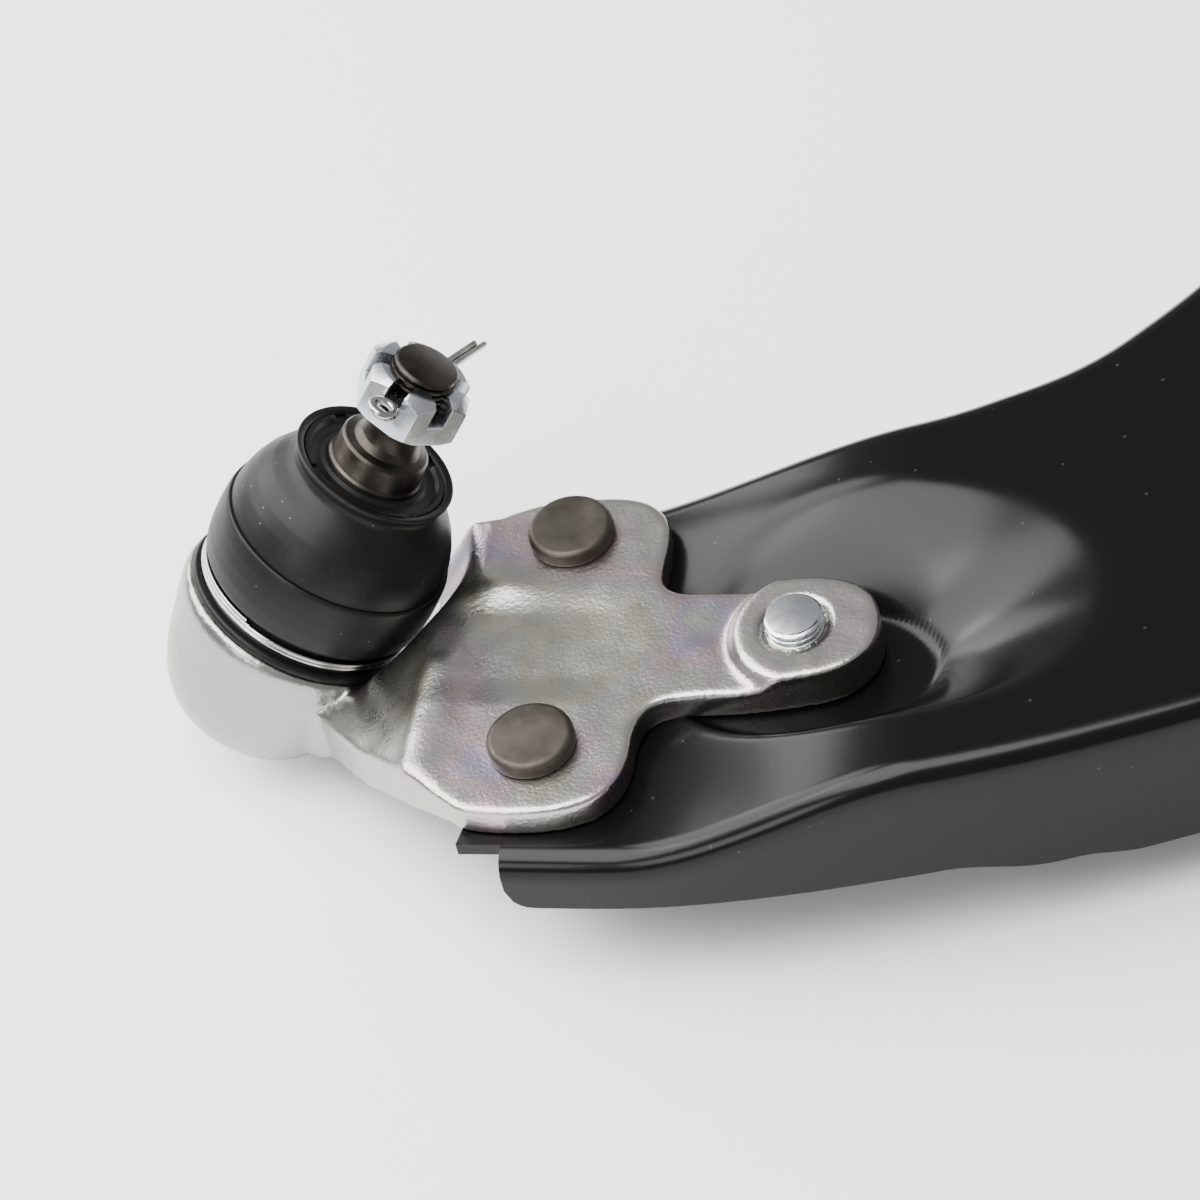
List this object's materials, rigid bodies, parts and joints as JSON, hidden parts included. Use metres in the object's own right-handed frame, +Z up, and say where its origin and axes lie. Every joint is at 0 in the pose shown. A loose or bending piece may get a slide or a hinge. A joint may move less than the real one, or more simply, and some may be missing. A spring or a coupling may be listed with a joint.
{
  "type": "control arm",
  "caption": "Pressed-steel lower control arm with a riveted and bolted forged ball-joint bracket, a booted ball stud with a castle nut, and two rubber pivot bushes.",
  "frame": {"origin": "centre of the front bush's bore", "axes": "+X inboard, +Y along the front bush's bore towards the rear bush, +Z up, the side the ball stud stands on"},
  "size_m": [0.3964, 0.3696, 0.0932],
  "materials": {
    "black_paint": "semi-gloss dip paint",
    "zinc_forging": "zinc plated over a forged skin",
    "rivet_steel": "matte phosphated steel",
    "zinc_hardware": "bright zinc plate",
    "bright_steel": "drawn wire",
    "stud_steel": "dark machined steel",
    "race_polymer": "moulded",
    "ring_polymer": "moulded",
    "rubber": "matte",
    "bush_steel": "satin"
  },
  "bodies": {
    "arm": {"arm_shell": "black_paint", "arm_lower_plate": "black_paint", "front_bush_tube": "black_paint", "front_bush_can": "bush_steel", "front_bush_rubber": "rubber", "rear_bush_tube": "black_paint", "rear_bush_can": "bush_steel", "rear_bush_rubber": "rubber", "ball_joint_bracket": "zinc_forging", "ball_race": "race_polymer", "housing_cap": "zinc_forging", "boot_wire_ring": "bright_steel", "rivet_front": "rivet_steel", "rivet_rear": "rivet_steel", "bracket_bolt": "zinc_hardware"},
    "boot_skirt": {"boot": "rubber"},
    "boot_collar": {"boot_top_ring": "ring_polymer"},
    "stud": {"ball_stud": "stud_steel", "castle_nut": "zinc_hardware", "cotter_pin": "bright_steel"},
    "front_sleeve": {"front_bush_sleeve": "bush_steel"},
    "rear_sleeve": {"rear_bush_sleeve": "bush_steel"}
  },
  "joints": [
    {"name": "ball_swing", "type": "hinge", "parent": "arm", "child": "boot_skirt", "pos_m": [-0.3397, 0.066, -0.0116], "axis": [0, 1, 0], "range_deg": [-20, 10], "deforming": ["boot"]},
    {"name": "ball_rock", "type": "hinge", "parent": "boot_skirt", "child": "boot_collar", "pos_m": [-0.3397, 0.066, -0.0116], "axis": [0.809, 0, -0.5878], "range_deg": [-15, 15], "deforming": ["boot"]},
    {"name": "stud_spin", "type": "hinge", "parent": "boot_collar", "child": "stud", "pos_m": [-0.3397, 0.066, -0.0116], "axis": [0.5878, 0, 0.809], "continuous": true},
    {"name": "front_bush_twist", "type": "hinge", "parent": "arm", "child": "front_sleeve", "pos_m": [0, 0, 0], "axis": [0, 1, 0], "range_deg": [-14, 14], "stiffness_Nm_per_rad": 30},
    {"name": "rear_bush_tilt", "type": "hinge", "parent": "arm", "child": "rear_sleeve", "pos_m": [0, 0.29, 0.002], "axis": [0, 1, 0], "range_deg": [-14, 14], "stiffness_Nm_per_rad": 30, "deforming": ["rear_bush_rubber"]}
  ],
  "couplings": [
    {"joint": "rear_bush_tilt", "follows": "front_bush_twist", "ratio": 1}
  ]
}
